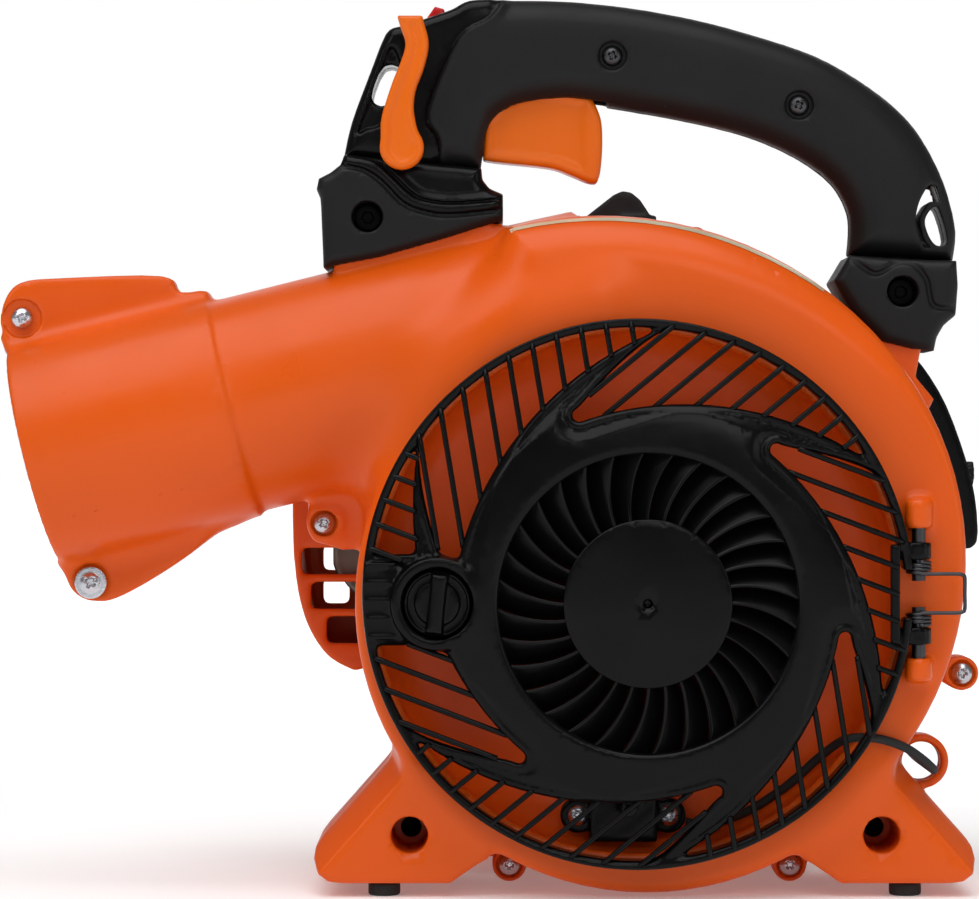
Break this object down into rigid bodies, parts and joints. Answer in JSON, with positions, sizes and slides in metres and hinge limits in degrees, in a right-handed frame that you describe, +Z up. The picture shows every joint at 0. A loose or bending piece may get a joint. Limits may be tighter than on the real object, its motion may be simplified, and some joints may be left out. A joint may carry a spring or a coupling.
{
  "type": "leaf blower",
  "caption": "Hand-held petrol leaf blower and vacuum with a scroll fan case, hinged intake cover, round outlet and a top handle.",
  "frame": {"origin": "centre of the bounding box in X and Y, at the ground under the rubber feet", "axes": "+X from the outlet towards the air filter, -Y the intake side, +Z up from the feet to the handle"},
  "size_m": [0.3795, 0.228, 0.3351],
  "materials": {
    "case_plastic": "orange moulded plastic, satin",
    "trigger_plastic": "orange moulded plastic, satin",
    "black_plastic": "black moulded plastic, satin",
    "red_plastic": "red moulded plastic",
    "tank_plastic": "natural translucent polyethylene",
    "white_plastic": "white plastic",
    "insulator_plastic": "moulded phenolic",
    "coil_plastic": "potted resin and laminations",
    "rubber_black": "black rubber",
    "rubber_seal": "brown rubber",
    "rubber_bulb": "red rubber",
    "rubber_hose": "amber hose",
    "foam_grey": "open-cell foam",
    "rope_white": "braided nylon",
    "screw_steel": "zinc plated",
    "dark_steel": "blackened steel",
    "ground_steel": "ground",
    "muffler_steel": "pressed sheet",
    "cast_alloy": "die cast",
    "plug_ceramic": "glazed ceramic and plated shell"
  },
  "bodies": {
    "housing": {"fan_case_front": "case_plastic", "fan_case_rear": "case_plastic", "case_screws": "screw_steel", "tube_clamp_bolt": "screw_steel", "rubber_feet": "rubber_black", "hinge_pins": "dark_steel", "hinge_spring": "dark_steel", "interlock_switch": "black_plastic", "interlock_lead": "rubber_black", "crankcase_front": "cast_alloy", "crankcase_rear": "cast_alloy", "crank_bearings": "ground_steel", "oil_seals": "rubber_seal", "latch_keeper": "ground_steel", "connecting_rod": "cast_alloy", "piston": "cast_alloy", "cylinder": "cast_alloy", "spark_plug": "plug_ceramic", "plug_boot": "rubber_black", "ignition_coil": "coil_plastic", "engine_shroud": "case_plastic", "muffler": "muffler_steel", "muffler_guard": "case_plastic", "carb_insulator": "insulator_plastic", "carburetor": "cast_alloy", "filter_base": "black_plastic", "air_filter": "foam_grey", "fuel_tank": "tank_plastic", "fuel_line": "rubber_hose", "rear_stand": "case_plastic", "starter_housing": "case_plastic", "recoil_spring": "dark_steel", "engine_screws": "screw_steel", "handle_front": "black_plastic", "handle_rear": "black_plastic", "handle_screws": "dark_steel", "handle_foot_left": "black_plastic", "handle_foot_right": "black_plastic", "trigger_pin": "screw_steel", "throttle_cable": "rubber_black"},
    "cover": {"intake_grille": "black_plastic"},
    "latch": {"latch_knob": "black_plastic"},
    "plunger": {"interlock_plunger": "white_plastic"},
    "rotor": {"impeller": "black_plastic", "shredder_blade": "dark_steel", "shaft_nuts": "screw_steel", "crankshaft": "ground_steel", "flywheel": "cast_alloy"},
    "pulley": {"starter_pulley": "black_plastic"},
    "pull_grip": {"starter_rope": "rope_white", "starter_grip": "black_plastic"},
    "throttle_trigger": {"trigger": "trigger_plastic"},
    "carb_arm": {"throttle_arm": "screw_steel"},
    "choke": {"choke_lever": "black_plastic"},
    "primer": {"primer_bulb": "rubber_bulb"},
    "filter_lid": {"filter_cover": "black_plastic"},
    "lid_knob": {"filter_knob": "black_plastic"},
    "tank_cap": {"fuel_cap": "black_plastic"},
    "lock": {"lock_lever": "trigger_plastic"},
    "stop": {"stop_switch": "red_plastic"}
  },
  "joints": [
    {"name": "cover_hinge", "type": "hinge", "parent": "housing", "child": "cover", "pos_m": [0.153, -0.097, 0.113], "axis": [0, 0, 1], "range_deg": [0, 100], "stiffness_Nm_per_rad": 0.08, "springref_deg": -11.46},
    {"name": "latch_turn", "type": "hinge", "parent": "cover", "child": "latch", "pos_m": [-0.023, -0.105, 0.109], "axis": [0, 1, 0], "range_deg": [0, 90]},
    {"name": "interlock_slide", "type": "slide", "parent": "housing", "child": "plunger", "axis": [0, -1, 0], "range_m": [0, 0.0026]},
    {"name": "crank_spin", "type": "hinge", "parent": "housing", "child": "rotor", "pos_m": [0.0535, -0.045, 0.109], "axis": [0, 1, 0], "continuous": true},
    {"name": "starter_pull", "type": "slide", "parent": "housing", "child": "pull_grip", "axis": [0, 0, 1], "range_m": [0, 0.052], "stiffness_N_per_m": 60, "springref_m": -0.05},
    {"name": "pulley_spin", "type": "hinge", "parent": "housing", "child": "pulley", "pos_m": [0.0535, 0.089, 0.109], "axis": [0, -1, 0], "range_deg": [0, 137]},
    {"name": "trigger_pull", "type": "hinge", "parent": "housing", "child": "throttle_trigger", "pos_m": [0.003, -0.045, 0.3], "axis": [0, -1, 0], "range_deg": [0, 12], "stiffness_Nm_per_rad": 0.4, "springref_deg": -17.19},
    {"name": "carb_arm_turn", "type": "hinge", "parent": "housing", "child": "carb_arm", "pos_m": [0.114, 0.007, 0.17], "axis": [0, 1, 0], "range_deg": [0, 41]},
    {"name": "choke_turn", "type": "hinge", "parent": "housing", "child": "choke", "pos_m": [0.126, 0.006, 0.156], "axis": [0, 1, 0], "range_deg": [0, 60]},
    {"name": "primer_press", "type": "slide", "parent": "housing", "child": "primer", "axis": [0, 0, 1], "range_m": [0, 0.003], "stiffness_N_per_m": 400, "springref_m": -0.002},
    {"name": "lid_pull", "type": "slide", "parent": "housing", "child": "filter_lid", "axis": [1, 0, 0], "range_m": [0, 0.04]},
    {"name": "lid_knob_turn", "type": "hinge", "parent": "filter_lid", "child": "lid_knob", "pos_m": [0.18, 0.035, 0.1555], "axis": [1, 0, 0], "range_deg": [0, 360]},
    {"name": "tank_cap_turn", "type": "hinge", "parent": "housing", "child": "tank_cap", "pos_m": [0.112, 0.0295, 0.07], "axis": [0, 0, 1], "range_deg": [0, 300]},
    {"name": "lock_turn", "type": "hinge", "parent": "housing", "child": "lock", "pos_m": [-0.0368, -0.065, 0.2779], "axis": [0, 1, 0], "range_deg": [0, 30]},
    {"name": "stop_press", "type": "slide", "parent": "housing", "child": "stop", "axis": [0.3256, 0, -0.9455], "range_m": [0, 0.0022], "stiffness_N_per_m": 400, "springref_m": -0.001}
  ],
  "couplings": [
    {"joint": "interlock_slide", "follows": "cover_hinge", "m_per_rad": 0.00143},
    {"joint": "pulley_spin", "follows": "starter_pull", "rad_per_m": 45.455},
    {"joint": "carb_arm_turn", "follows": "trigger_pull", "ratio": 3.3333}
  ]
}
